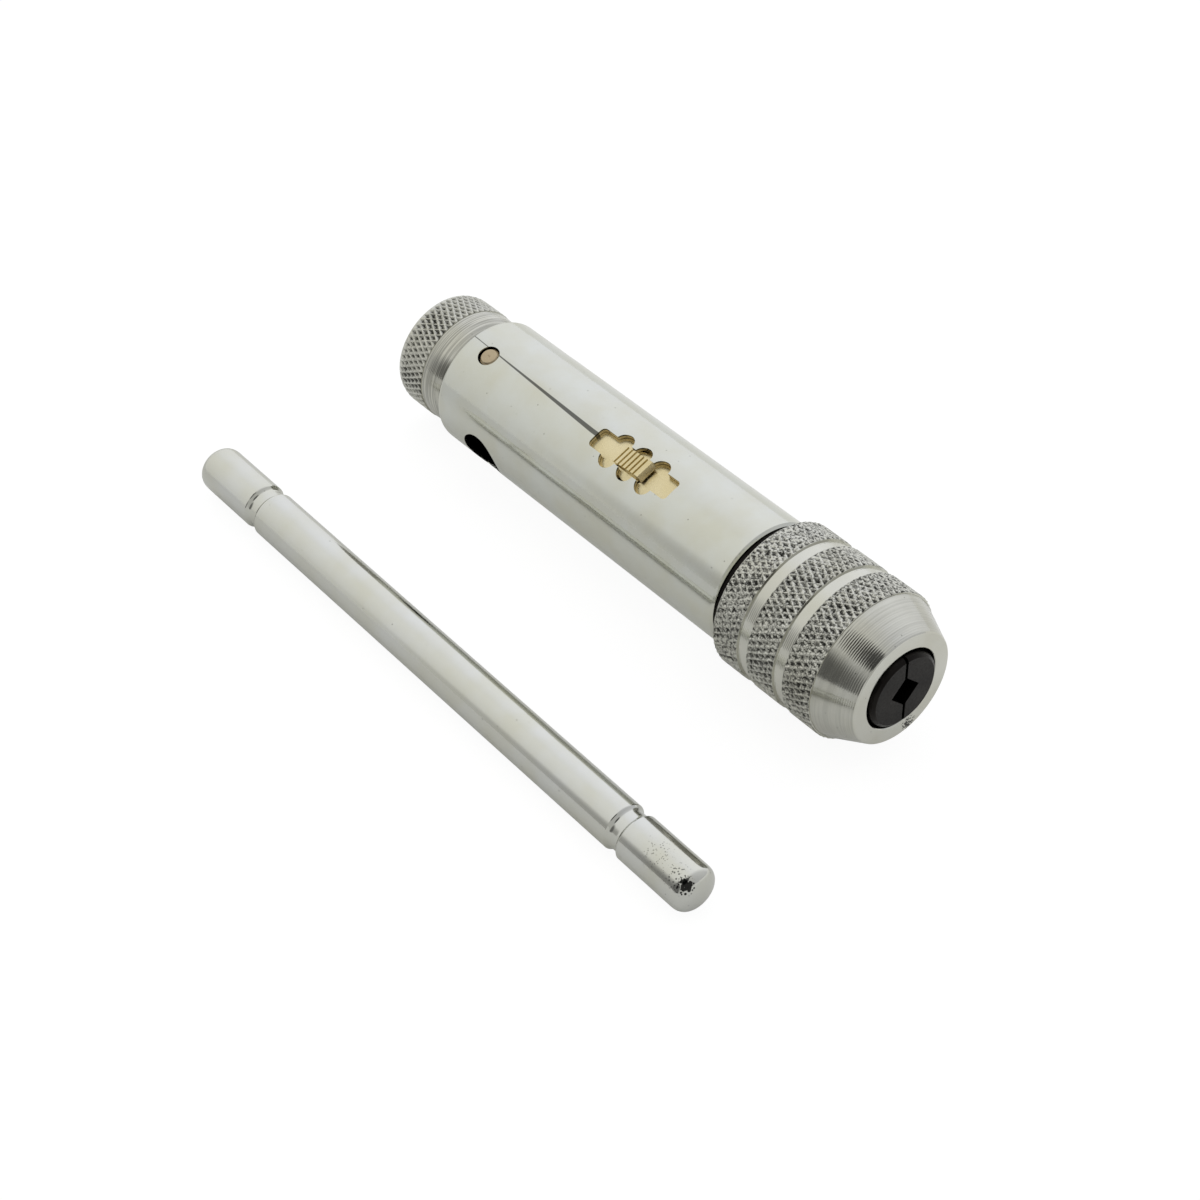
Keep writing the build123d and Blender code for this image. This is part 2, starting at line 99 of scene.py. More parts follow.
# %% [markdown]
# ## Small helpers for materials
# Finishes are written as the sRGB colours one reads off a swatch, and the shaders want linear light, so
# one function converts them. Every material below is a short chain of nodes, so a second function adds
# one node with its settings and links. Its sockets are filled in their own order, or by name or number: a
# Mix node takes its two colours in sockets 6 and 7, and gives the mixed colour in output 2.


# %% Colour and node helpers
def linear(hex_colour):
    """Linear RGBA from an sRGB hex colour."""
    channels = [int(hex_colour[i:i + 2], 16) / 255 for i in (0, 2, 4)]
    return [c / 12.92 if c <= 0.04045 else ((c + 0.055) / 1.055) ** 2.4 for c in channels] + [1.0]


def new_material(name):
    """An empty node material."""
    material = bpy.data.materials.new(name)
    material.use_nodes = True
    material.node_tree.nodes.clear()
    return material


def node(owner, kind, *values, sockets=None, **settings):
    """Adds one node. A socket takes a value, an output, or a node, which stands for its first output."""
    made = owner.node_tree.nodes.new(kind)
    for key, value in settings.items():
        setattr(made, key, value)
    for key, value in [*enumerate(values), *(sockets or {}).items()]:
        if isinstance(value, bpy.types.Node):
            value = value.outputs[0]
        if isinstance(value, bpy.types.NodeSocket):
            owner.node_tree.links.new(value, made.inputs[key])
        else:
            made.inputs[key].default_value = value
    return made


print("middle grey 808080 is", round(linear("808080")[0], 3), "in linear light")

# %% [markdown]
# ## Table
# Catalogue pictures show a tool on pure white. The camera sees the sheet as a glow just under white plus
# a little real light, so the ground is white and a faint contact shadow stays. Every other ray meets a
# plain pale sheet: the metal mirrors a table that is greyer than the background, and darker where the
# tool shades it, which is what draws the lower edges of the round pieces. For glossy rays the sheet also
# glows, more towards its far side: a painted glow that stands for the brighter light falling there.

# %% Table
table_half = 2.0
table_gap = 0.02
table_mesh = bpy.data.meshes.new("table")
shape = bmesh.new()
bmesh.ops.create_grid(shape, x_segments=1, y_segments=1, size=table_half)
shape.to_mesh(table_mesh)
shape.free()
table = bpy.data.objects.new("table", table_mesh)
bpy.context.scene.collection.objects.link(table)
table.location.z = -table_gap * MM
print("table at z, mm:", round(table.location.z / MM, 3))

# %% White paper on the table
paper = new_material("white_table")
ray = node(paper, "ShaderNodeLightPath").outputs
place_on_table = node(paper, "ShaderNodeSeparateXYZ", node(paper, "ShaderNodeTexCoord").outputs["Object"])
# Painted light: glossy rays also see a glow on the sheet, stronger on its far side.
far_side = node(paper, "ShaderNodeMapRange", place_on_table.outputs["Y"], -0.03, 0.05, 0.09, 0.3)
gloss_only = node(paper, "ShaderNodeMath", far_side, ray["Is Glossy Ray"], operation="MULTIPLY")
pale_sheet = node(paper, "ShaderNodeBsdfDiffuse", linear("E0E0DE"))
sheen = node(paper, "ShaderNodeEmission", linear("FFFFFD"), gloss_only)
mirrored_sheet = node(paper, "ShaderNodeAddShader", pale_sheet, sheen)
shadow_sheet = node(paper, "ShaderNodeBsdfDiffuse", linear("6C6C6C"))
glow = node(paper, "ShaderNodeEmission", linear("FFFFFF"), 0.92)
seen_sheet = node(paper, "ShaderNodeAddShader", shadow_sheet, glow)
surface = node(paper, "ShaderNodeMixShader", ray["Is Camera Ray"], mirrored_sheet, seen_sheet)
node(paper, "ShaderNodeOutputMaterial", surface)
table_mesh.materials.append(paper)
print("table finish:", paper.name)

# %% [markdown]
# ## Light tent
# Polished metal is a picture of its surroundings, so the surroundings are the light. Lamps would leave
# hard spots on such a finish, and a world of soft patches doesn't. The tent is nearly even: a little
# brighter at the back left and behind, dimmer on the side of the nose, warmer in front and cooler at the
# back. A round dark patch stands for the camera, and a softer one low in front for the dark room. They
# make the dark streak on the nose cone and the dark side of the knob's neck.
#
# Each patch is one Map Range node, which turns a direction's share in it into a brightness.

# %% World
bright_side = Vector((-0.45, 0.35, 0.82)).normalized()
camera_side = Vector((0.36, -0.42, 0.83)).normalized()
room_side = Vector((-0.1, -0.95, 0.2)).normalized()
tent = bpy.data.worlds.new("light_tent")
tent.use_nodes = True
tent.node_tree.nodes.clear()
ray = node(tent, "ShaderNodeLightPath").outputs
direction = node(tent, "ShaderNodeTexCoord").outputs["Generated"]
split = node(tent, "ShaderNodeSeparateXYZ", direction).outputs


def towards(side):
    """How closely a direction points to a side: one straight at it, zero at right angles."""
    return node(tent, "ShaderNodeVectorMath", direction, side, operation="DOT_PRODUCT").outputs["Value"]


levels = [node(tent, "ShaderNodeMapRange", *level) for level in (
    (towards(bright_side), 0.0, 1.0, 0.75, 0.98),
    (split["X"], 0.0, 0.35, 1.0, 0.72),
    (split["Y"], 0.05, 0.8, 1.0, 1.2),
    (towards(camera_side), 0.94, 0.962, 1.0, 0.12),
    (towards(room_side), 0.84, 0.95, 1.0, 0.22),
)]
strength = levels[0]
for level in levels[1:]:
    strength = node(tent, "ShaderNodeMath", strength, level, operation="MULTIPLY")
behind = node(tent, "ShaderNodeMapRange", split["Y"], -0.1, 0.35)
cloth = node(tent, "ShaderNodeMix", sockets={"Factor": behind, 6: linear("FDFDFA"), 7: linear("FAFBFF")},
             data_type="RGBA").outputs[2]
tent_light = node(tent, "ShaderNodeBackground", cloth, strength)
white = node(tent, "ShaderNodeBackground", linear("FFFFFF"), 1.0)
node(tent, "ShaderNodeOutputWorld",
     node(tent, "ShaderNodeMixShader", ray["Is Camera Ray"], tent_light, white))
bpy.context.scene.world = tent
print("soft bright patch towards", [round(c, 2) for c in bright_side])

# %% [markdown]
# ## One recipe for the metals
# All the metals share one recipe. Soft clouds shift the colour between two close tints, as thin plating
# does. Noise squeezed along the axis gives the lines of polishing, a fine grain changes the roughness
# from place to place, and a few specks stand for tiny pits and dust. Turned pieces also get the rings
# that the lathe tool left, and burrs where a knurl has torn the metal. Each of these bumps is laid over
# the one before. A finish may add masks, each a function that darkens a part of the piece, and for the
# cut walls inside a piece a painted reflection colour with its own roughness.
#
# The Mapping node turns Object coordinates into millimetres in the tool's own frame, so the scale of a
# pattern is its count in a millimetre. Real polishing lines are finer than these and wouldn't show.

# %% Tool marks
burrs_per_mm = 4.0
line_stretch = (9.0, 0.25, 0.25)
# A wave texture repeats every 0.314 / Scale, so these rings are 0.25 mm apart.
ring_scale = 1.25
grain_depth = 0.002
burr_depth = 0.11


def tool_marks(material, space, grain, line_depth, ring_depth):
    """Surface normal with polishing lines and grain, and on a turned piece with burrs and rings."""
    stretched = node(material, "ShaderNodeVectorMath", space, line_stretch, operation="MULTIPLY")
    lines = node(material, "ShaderNodeTexNoise",
                 sockets={"Vector": stretched, "Scale": 1.0, "Detail": 3.0})
    layers = [(lines, 1.0, line_depth)]
    if ring_depth:
        torn = node(material, "ShaderNodeAttribute", attribute_name="torn").outputs["Fac"]
        burrs = node(material, "ShaderNodeTexNoise",
                     sockets={"Vector": space, "Scale": burrs_per_mm, "Detail": 2.0})
        rings = node(material, "ShaderNodeTexWave",
                     sockets={"Vector": space, "Scale": ring_scale, "Distortion": 1.6, "Detail": 2.0,
                              "Detail Scale": 0.6})
        layers += [(burrs, torn, burr_depth), (rings, 1.0, ring_depth)]
    layers.append((grain, 1.0, grain_depth))
    below = {}
    for pattern, strength, depth in layers:
        marks = node(material, "ShaderNodeBump",
                     sockets={"Height": pattern.outputs["Fac"], "Strength": strength,
                              "Distance": depth * MM, **below})
        below = {"Normal": marks}
    return marks


print("one ring of the lathe tool, mm:", round(math.pi / 10 / ring_scale, 2))

# %% One recipe for metals
clouds_per_mm = 0.2
grains_per_mm = 3.5
specks_per_mm = 0.55


def metal(name, colour, tint, roughness, line_depth, place=tool_place, ring_depth=0.0, masks=(),
          wall_reflection_and_roughness=None):
    """Metal finish with clouds of tint, specks, grain and tool marks, its own masks, and a painted wall
    reflection.
    """
    material = new_material(name)
    space = node(material, "ShaderNodeMapping", node(material, "ShaderNodeTexCoord").outputs["Object"],
                 place.translation, place.to_euler(), (MM, MM, MM), vector_type="TEXTURE")
    clouds = node(material, "ShaderNodeTexNoise",
                  sockets={"Vector": space, "Scale": clouds_per_mm, "Detail": 4.0})
    grain = node(material, "ShaderNodeTexNoise",
                 sockets={"Vector": space, "Scale": grains_per_mm, "Detail": 3.0})
    specks = node(material, "ShaderNodeTexVoronoi", sockets={"Vector": space, "Scale": specks_per_mm})
    share = node(material, "ShaderNodeMapRange", clouds.outputs["Fac"], 0.34, 0.66)
    tinted = node(material, "ShaderNodeMix",
                  sockets={"Factor": share, 6: linear(colour), 7: linear(tint)},
                  data_type="RGBA").outputs[2]
    shade = node(material, "ShaderNodeMapRange", specks.outputs["Distance"], 0.03, 0.07, 0.6, 1.0)
    dull = node(material, "ShaderNodeMapRange", grain.outputs["Fac"], 0.3, 0.7, roughness * 0.75,
                roughness * 1.3)
    # The cut walls get a painted reflection colour and their own roughness.
    if wall_reflection_and_roughness:
        inside, reflected_colour, inner_roughness = wall_reflection_and_roughness
        wall_share = inside(material, space)
        tinted = node(material, "ShaderNodeMix",
                      sockets={"Factor": wall_share, 6: tinted, 7: linear(reflected_colour)},
                      data_type="RGBA").outputs[2]
        inner_dull = node(material, "ShaderNodeMath", wall_share, inner_roughness, operation="MULTIPLY")
        dull = node(material, "ShaderNodeMath", dull, inner_dull, operation="MAXIMUM")
    for mask in masks:
        shade = node(material, "ShaderNodeMath", shade, mask(material, space), operation="MULTIPLY")
    shaded = node(material, "ShaderNodeVectorMath", sockets={0: tinted, "Scale": shade},
                  operation="SCALE")
    marks = tool_marks(material, space, grain, line_depth, ring_depth)
    shader = node(material, "ShaderNodeBsdfPrincipled",
                  sockets={"Base Color": shaded, "Roughness": dull, "Normal": marks, "Metallic": 1.0})
    node(material, "ShaderNodeOutputMaterial", shader)
    return material


print("mm from one cloud of tint to the next:", round(1 / clouds_per_mm, 1))

# %% [markdown]
# ## Measures for masks
# A mask needs to know where on the tool a point lies. Two measures do for nearly all of them: how far
# the point is from the axis, and how far it is from a station.


# %% Measures for masks
def from_axis(material, space):
    """Distance from the tool's axis in millimetres."""
    flat = node(material, "ShaderNodeVectorMath", space, (0.0, 1.0, 1.0), operation="MULTIPLY")
    return node(material, "ShaderNodeVectorMath", flat, operation="LENGTH").outputs["Value"]


def from_station(material, space, station):
    """Distance along the tool from a station, in millimetres."""
    along = node(material, "ShaderNodeSeparateXYZ", space).outputs["X"]
    offset = node(material, "ShaderNodeMath", along, station, operation="ADD")
    return node(material, "ShaderNodeMath", offset, operation="ABSOLUTE")


turned_by = [round(math.degrees(angle), 1) for angle in tool_place.to_euler()]
print("the tool's own frame is turned by, degrees:", turned_by)

# %% [markdown]
# ## Polished body
# The body is steel, turned, polished and plated with nickel: mirror-like, a bluish grey with warm,
# faintly green clouds. Four details are painted into its finish and need no geometry. The inside round
# the cross hole gets painted shade. The cut walls of the selector window are dull and mirror the brass
# plate, so they get a painted reflection of it, with a thin painted shadow line under their upper edge.
# And a dark band that widens on its way runs from behind the pin to the window: a painted reflection,
# 0.6 mm at its widest, with no depth. It could be cut into the mesh, but it is 0.6 mm at its widest and
# shows no depth, so a dark line in the finish is enough.

# %% Masks of the selector window
window_station = 44.2
window_reach = 8.0
wall_top = 8.5
shadow_line_radius = 8.54


def near_window(material, space):
    """One round the selector window, zero elsewhere."""
    height = node(material, "ShaderNodeSeparateXYZ", space).outputs["Z"]
    in_length = node(material, "ShaderNodeMapRange", from_station(material, space, window_station),
                     window_reach, window_reach + 0.4, 1.0, 0.0)
    on_top = node(material, "ShaderNodeMapRange", height, 4.0, 5.0, 0.0, 1.0)
    return node(material, "ShaderNodeMath", in_length, on_top, operation="MULTIPLY")


def window_walls(material, space):
    """One on the cut walls of the selector window, below the polished outside."""
    below = node(material, "ShaderNodeMapRange", from_axis(material, space), wall_top, wall_top + 0.08,
                 1.0, 0.0)
    return node(material, "ShaderNodeMath", below, near_window(material, space), operation="MULTIPLY")


def painted_shadow_line(material, space):
    """Mask of a thin painted shadow line under the upper edge of the selector window."""
    offset = node(material, "ShaderNodeMath", from_axis(material, space), shadow_line_radius,
                  operation="SUBTRACT")
    off_line = node(material, "ShaderNodeMath", offset, operation="ABSOLUTE")
    line = node(material, "ShaderNodeMapRange", off_line, 0.07, 0.1, 0.12, 1.0)
    elsewhere = node(material, "ShaderNodeMath", 1.0, near_window(material, space),
                     operation="SUBTRACT")
    return node(material, "ShaderNodeMath", line, elsewhere, operation="MAXIMUM")


print("window from", window_station - window_reach, "to", window_station + window_reach)

# %% Masks of the cross hole and the painted reflection band
hole_zone = 68.15
hole_zone_reach = 7.6
barrel_rear = 76.4
reflection_at_pin = 73.0
reflection_front = 51.5
# How far the painted reflection band lies off the tool's top line, and half its width, each first at its
# rear end.
reflection_sides = (1.03, 0.16)
reflection_half_widths = (0.05, 0.3)


def painted_cross_hole_shade(material, space):
    """Mask of painted shade on the inside of the body round the cross hole."""
    inside = node(material, "ShaderNodeMapRange", from_axis(material, space), 8.2, 8.35, 0.08, 1.0)
    elsewhere = node(material, "ShaderNodeMapRange", from_station(material, space, hole_zone),
                     hole_zone_reach, hole_zone_reach + 0.2, 0.0, 1.0)
    return node(material, "ShaderNodeMath", inside, elsewhere, operation="MAXIMUM")


def painted_tapering_reflection(material, space):
    """Mask of a painted dark reflection band from behind the pin to the selector window, where it is
    widest.
    """
    split = node(material, "ShaderNodeSeparateXYZ", space).outputs
    centre = node(material, "ShaderNodeMapRange", split["X"], -barrel_rear, -reflection_front, *reflection_sides)
    half_width = node(material, "ShaderNodeMapRange", split["X"], -reflection_at_pin, -reflection_front,
                      *reflection_half_widths)
    offset = node(material, "ShaderNodeMath", split["Y"], centre, operation="SUBTRACT")
    off_centre = node(material, "ShaderNodeMath", offset, operation="ABSOLUTE")
    beyond = node(material, "ShaderNodeMath", off_centre, half_width, operation="SUBTRACT")
    reflection_band = node(material, "ShaderNodeMapRange", beyond, -0.02, 0.04, 0.22, 1.0)
    underneath = node(material, "ShaderNodeMapRange", split["Z"], 0.0, 0.5, 1.0, 0.0)
    on_top = node(material, "ShaderNodeMath", reflection_band, underneath, operation="MAXIMUM")
    in_front = node(material, "ShaderNodeMapRange", split["X"], 0.9 - reflection_front, 1.1 - reflection_front,
                    0.0, 1.0)
    return node(material, "ShaderNodeMath", on_top, in_front, operation="MAXIMUM")


print("length of the seam, mm:", round(barrel_rear - reflection_front, 1))

# %% Nickel plate of the body
# The body's masks paint shade into the cross hole, a shadow line under the window's edge and a dark
# reflection band. The brassy wall colour is a painted reflection of the brass plate.
polished_nickel = metal("polished_nickel_plate", "D1D3CD", "CDCDC1", roughness=0.1, line_depth=0.0015,
                        masks=(painted_cross_hole_shade, painted_shadow_line, painted_tapering_reflection),
                        wall_reflection_and_roughness=(window_walls, "EADCB6", 0.5))
print(polished_nickel.name, "nodes:", len(polished_nickel.node_tree.nodes))

# %% [markdown]
# ## Stained ground rod
# The cross bar is a ground steel rod with the same plating. Corrosion has come through near its front
# end: two loose groups of dark pits and one blotch. A Voronoi texture gives scattered cells, and a limit
# that shrinks away from a point keeps only the middles of the cells near it, so one function makes both
# the pits and the blotch. The bar is a slightly duller mirror than the body, with fainter lines.


# %% Nickel plate of the bar
def spots(place, reach, cells_per_mm, size, brightness):
    """Mask for a cluster of small dark spots round a place."""
    def mask(material, space):
        away = node(material, "ShaderNodeVectorMath", space, place, operation="DISTANCE")
        cells = node(material, "ShaderNodeTexVoronoi", sockets={"Vector": space, "Scale": cells_per_mm})
        limit = node(material, "ShaderNodeMapRange", away.outputs["Value"], reach * 0.3, reach, size, 0.0)
        beyond = node(material, "ShaderNodeMath", cells.outputs["Distance"], limit, operation="SUBTRACT")
        return node(material, "ShaderNodeMapRange", beyond, -0.04, 0.04, brightness, 1.0)
    return mask


bar_stains = (
    spots((41.4, -1.3, 2.75), reach=3.0, cells_per_mm=3.4, size=0.27, brightness=0.4),
    spots((45.2, -1.7, 2.5), reach=2.4, cells_per_mm=3.1, size=0.36, brightness=0.3),
    spots((46.8, -1.7, 2.2), reach=1.5, cells_per_mm=3.0, size=0.8, brightness=0.05),
)
bar_nickel = metal("nickel_plate_on_ground_rod", "D4D5D1", "D0D0C6", roughness=0.12, line_depth=0.001,
                   place=bar_place, masks=bar_stains)
print(bar_nickel.name, "nodes:", len(bar_nickel.node_tree.nodes))

# %% [markdown]
# ## Turned and knurled nickel
# The sleeve and the knob are plated straight from the lathe, so they keep the rings of the tool, and two
# lengths that were never polished, the nose cone and the knob's neck, keep coarser marks; on the neck
# their dark tones also paint a dark reflection. The bore and the pits of the knurl are darkened with
# painted shade, the pits with a little dirt too. The pits are modelled below, and the knurling function
# writes two numbers to each of its points: pit says how deep it lies, torn how rough the metal is there.
# An attribute carries them to this finish. The spots are the stains at the lower edge of the nose face.

# %% Masks of the turned pieces
# Brightness left where painted shade darkens the bore and the knurl's pits. In the pits it also stands
# for a little dirt.
shade_and_dirt_level = 0.07
mark_stretch = (5.0, 0.1, 0.1)


def painted_bore_shade(radius):
    """Mask of painted shade on the inside of a piece, below a radius."""
    def mask(material, space):
        return node(material, "ShaderNodeMapRange", from_axis(material, space), radius - 0.05, radius,
                    shade_and_dirt_level, 1.0)
    return mask


def pit_shade_and_dirt(material, space):
    """Mask of painted shade, with a little dirt, in the pits of the knurl, uneven from pit to pit."""
    pit = node(material, "ShaderNodeAttribute", attribute_name="pit").outputs["Fac"]
    torn = node(material, "ShaderNodeAttribute", attribute_name="torn").outputs["Fac"]
    patches = node(material, "ShaderNodeTexNoise",
                   sockets={"Vector": space, "Scale": 3.2, "Detail": 4.0, "Roughness": 0.7})
    more_or_less = node(material, "ShaderNodeMapRange", patches.outputs["Fac"], 0.3, 0.7, -0.75, 0.85)
    uneven = node(material, "ShaderNodeMath", more_or_less, torn, operation="MULTIPLY")
    depth = node(material, "ShaderNodeMath", pit, uneven, operation="ADD")
    return node(material, "ShaderNodeMapRange", depth, 0.0, 0.65, 1.0, shade_and_dirt_level)


def turned_marks_and_painted_reflection(station, reach, tones):
    """Mask for coarse marks, dark and light, on a length of the tool that was never polished; on the
    knob's neck the dark tones also paint a dark reflection.
    """
    def mask(material, space):
        stretched = node(material, "ShaderNodeVectorMath", space, mark_stretch, operation="MULTIPLY")
        marks = node(material, "ShaderNodeTexNoise",
                     sockets={"Vector": stretched, "Scale": 1.0, "Detail": 2.0})
        tone = node(material, "ShaderNodeMapRange", marks.outputs["Fac"], 0.38, 0.6, *tones)
        elsewhere = node(material, "ShaderNodeMapRange", from_station(material, space, station),
                         reach, reach + 0.1, 0.0, 1.0)
        return node(material, "ShaderNodeMath", tone, elsewhere, operation="MAXIMUM")
    return mask


print("coarse marks in a millimetre:", mark_stretch[0])

# %% Nickel plate of the sleeve and the knob
mouth_radius = 5.45
cone_middle = 2.5
neck_middle = 78.5
turned_masks = (
    painted_bore_shade(mouth_radius + 0.05),
    pit_shade_and_dirt,
    # On the knob's neck the dark tones are partly its coarser turning marks and partly a painted dark
    # reflection.
    turned_marks_and_painted_reflection(neck_middle, reach=2.0, tones=(0.58, 0.98)),
    turned_marks_and_painted_reflection(cone_middle, reach=2.3, tones=(0.78, 0.88)),
    spots((0.0, -0.9, -6.6), reach=1.5, cells_per_mm=4.2, size=0.65, brightness=0.1),
)
turned_nickel = metal("turned_nickel_plate", "D2D2CA", "CAC9BE", roughness=0.13, line_depth=0.003,
                      ring_depth=0.0065, masks=turned_masks)
print(turned_nickel.name, "nodes:", len(turned_nickel.node_tree.nodes))

# %% [markdown]
# ## Brass, blackened steel and bare steel
# The other metals need no masks. The selector is pale, dry brass without lacquer. The pin is the same
# brass, but filed and handled, so it is greyer and darker. The jaws, the spindle, the washer behind the
# sleeve, the circlip and the catch screw are blackened: almost no colour, and a dull grey sheen. The
# pawl with its pin and cage, the springs, the ball and the rear washer are bare and lightly oiled.

# %% Finishes of the small pieces
satin_brass = metal("satin_brass", "E0D3AC", "D6C79A", roughness=0.3, line_depth=0.004)
worn_brass = metal("worn_brass", "BFB094", "AC9C82", roughness=0.32, line_depth=0.003)
black_oxide = metal("black_oxide_steel", "1A1817", "272523", roughness=0.38, line_depth=0.003)
bare_steel = metal("oiled_bare_steel", "9C9C9A", "8A8A88", roughness=0.3, line_depth=0.003)
for finish in (satin_brass, worn_brass, black_oxide, bare_steel):
    print(finish.name, "nodes:", len(finish.node_tree.nodes))

# %% [markdown]
# ## Rubber
# The ring behind the sleeve is moulded rubber: soft, dull and black, with a dusty bloom. One noise, about
# one cloud to a millimetre, drives both the dust and a shallow bump. It reads Object coordinates in
# metres, so its scale counts the clouds in a metre.

# %% Rubber
rubber = new_material("black_rubber")
bloom = node(rubber, "ShaderNodeTexNoise",
             sockets={"Vector": node(rubber, "ShaderNodeTexCoord").outputs["Object"], "Scale": 900.0})
dust = node(rubber, "ShaderNodeMix",
            sockets={"Factor": bloom.outputs["Fac"], 6: linear("121212"), 7: linear("262624")},
            data_type="RGBA").outputs[2]
skin = node(rubber, "ShaderNodeBump", sockets={"Height": bloom.outputs["Fac"], "Distance": 0.01 * MM})
shader = node(rubber, "ShaderNodeBsdfPrincipled",
              sockets={"Base Color": dust, "Normal": skin, "Roughness": 0.6})
node(rubber, "ShaderNodeOutputMaterial", shader)
print("materials:", len(bpy.data.materials))

# %% [markdown]
# ## Turning
# Every round piece here is turned on a lathe, and Spin is the lathe of Blender: it carries an outline of
# stations and radii once round the axis. A full spin meets its own start, so the doubles are merged.
# Where two stretches of the outline meet at a corner, the edge is marked sharp, so that the smooth
# shading doesn't run over it.

# %% Turning helpers
merge_distance = 1e-7
corner_angle = math.radians(18)


def turned_mesh(corners, steps):
    """Spins an outline of (station, radius) points about the tool's axis."""
    solid = bmesh.new()
    solid.verts.layers.float.new("pit")
    solid.verts.layers.float.new("torn")
    points = [solid.verts.new((-station * MM, 0, radius * MM)) for station, radius in corners]
    outline = [solid.edges.new(pair) for pair in zip(points, points[1:])]
    bmesh.ops.spin(solid, geom=points + outline, cent=(0, 0, 0), axis=(1, 0, 0), dvec=(0, 0, 0),
                   angle=2 * math.pi, steps=steps, use_merge=True)
    bmesh.ops.remove_doubles(solid, verts=solid.verts, dist=merge_distance)
    bmesh.ops.recalc_face_normals(solid, faces=solid.faces)
    return solid


def radius_of(vertex):
    """Distance of a point from the tool's axis."""
    return math.hypot(vertex.co.y, vertex.co.z)


def soften(solid):
    """Smooth shading, with sharp edges where the turned outline has corners."""
    for face in solid.faces:
        face.smooth = True
    for edge in solid.edges:
        edge.smooth = edge.calc_face_angle(0.0) < corner_angle


print("corners sharper than", round(math.degrees(corner_angle)), "degrees stay sharp")

# %% [markdown]
# ## Knurling
# A knurl is rolled into the metal by two toothed wheels that lean 30 degrees left and right, so it
# leaves a net of thin crossing ridges with a diamond pit in each mesh. Each pit is eight pixels wide
# here and catches the light by itself, so the pits are modelled and not painted.
#
# A turned outline with a point every half mesh is spun about the axis in twice as many steps as a row
# has pits. Every second point of that grid is pressed in like the fields of one colour on a chessboard,
# the points left between them are joined across the faces, and the joined edges are bevelled into narrow
# bright lands. The depth changes a little from streak to streak and from pit to pit, as on the real
# tool. Only points near the crest of the outline are taken, so no point of a bore is pressed by chance.

# %% Knurling helpers
row_pitch = 0.8
row_tolerance = 0.01
crest_share = 0.9
# The number that a full pit gets where the metal is clean. Torn metal adds up to 0.5 to it.
clean_pit = 0.62


def band_rows(start, end):
    """Stations of the knurl's rows between the two edges of a band."""
    count = round((end - start) / row_pitch)
    return [start + (end - start) * index / count for index in range(count + 1)]


def knurl(solid, rows, steps, depth, wobble, torn_edges, land):
    """Presses diamond pits into every second point of the rows and bevels the ridges between them."""
    pit = solid.verts.layers.float["pit"]
    torn = solid.verts.layers.float["torn"]
    chance = random.Random(11)
    streaks = [chance.uniform(1 - wobble, 1) for _ in range(steps)]
    crest = max(radius_of(vertex) for vertex in solid.verts)
    ridge_points = {}
    for vertex in solid.verts:
        row = min(range(len(rows)), key=lambda index: abs(rows[index] + vertex.co.x / MM))
        off_row = abs(rows[row] + vertex.co.x / MM)
        if off_row > row_tolerance or radius_of(vertex) < crest * crest_share:
            continue
        column = round(math.atan2(vertex.co.y, vertex.co.z) / (2 * math.pi / steps))
        vertex[torn] = torn_edges
        if (row + column) % 2:
            ridge_points[vertex] = True
            continue
        share = streaks[(column + row) // 2 % steps] * chance.uniform(1 - wobble / 2, 1)
        pressed = min(radius_of(vertex), crest - depth * MM * share)
        scale = pressed / radius_of(vertex)
        sunk = min(1.0, (radius_of(vertex) - pressed) / (depth * MM))
        vertex[pit] = (clean_pit + torn_edges / 2) * sunk
        vertex.co.y *= scale
        vertex.co.z *= scale
    for face in solid.faces:
        if any(vertex in ridge_points for vertex in face.verts):
            face.smooth = False
    bmesh.ops.connect_verts(solid, verts=list(ridge_points))
    ridges = [edge for edge in solid.edges if all(vertex in ridge_points for vertex in edge.verts)]
    bmesh.ops.bevel(solid, geom=ridges, offset=land * MM, segments=1, profile=0.5, affect="EDGES",
                    material=-1)


print("rows of the knurl, mm apart:", row_pitch)

# %% [markdown]
# ## Finished pieces
# A finished piece keeps its place in its mesh, its object stays at the origin, and it moves with the
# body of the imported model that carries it. It hides the CAD node that it replaces. One function does
# this for every piece, and another writes a modelled solid to a mesh and counts its open edges. A
# finished piece has none.


# %% Helpers for finished pieces
def show_piece(mesh, material, body, replaced):
    """Shows a finished mesh on its moving body, in place of a CAD node."""
    mesh.materials.clear()
    mesh.materials.append(material)
    piece = bpy.data.objects.new(mesh.name, mesh)
    bpy.context.scene.collection.objects.link(piece)
    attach(piece, body)
    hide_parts(replaced)


def finished_mesh(solid, name):
    """Writes a modelled solid to a mesh."""
    mesh = bpy.data.meshes.new(name)
    solid.to_mesh(mesh)
    print(name, "faces:", len(solid.faces), "open edges:", sum(edge.is_boundary for edge in solid.edges))
    solid.free()
    return mesh


# %% [markdown]
# ## Chuck sleeve
# The sleeve is turned on a screw of the spindle and presses the two jaws together with its inner cone.
# It is one outline: a nose cone, three knurled bands with smooth grooves between them, and the bore.
# All three bands are rougher than the knurl of the knob, and the last one is the least even, as the
# wheel was fed out there.

# %% Outline of the sleeve
sleeve_radius = 10.0
sleeve_length = 21.2
sleeve_steps = 2 * 68
groove_floor = 9.65
chamfer = 0.15
edge_radius = sleeve_radius - 0.12
mouth = (1.0, mouth_radius)
mouth_rim = [(0.1, mouth_radius), (0, mouth_radius + 0.1)]
nose_cone = [(0, 7.45), (0.12, 7.6), (4.75, 9.7), (4.9, 9.72)]
band_edges = ((4.9, 9.4), (11.1, 15.45), (17.15, sleeve_length))
recess_radius = 8.2
recess_front = 19.6
thread_radius = 7.25
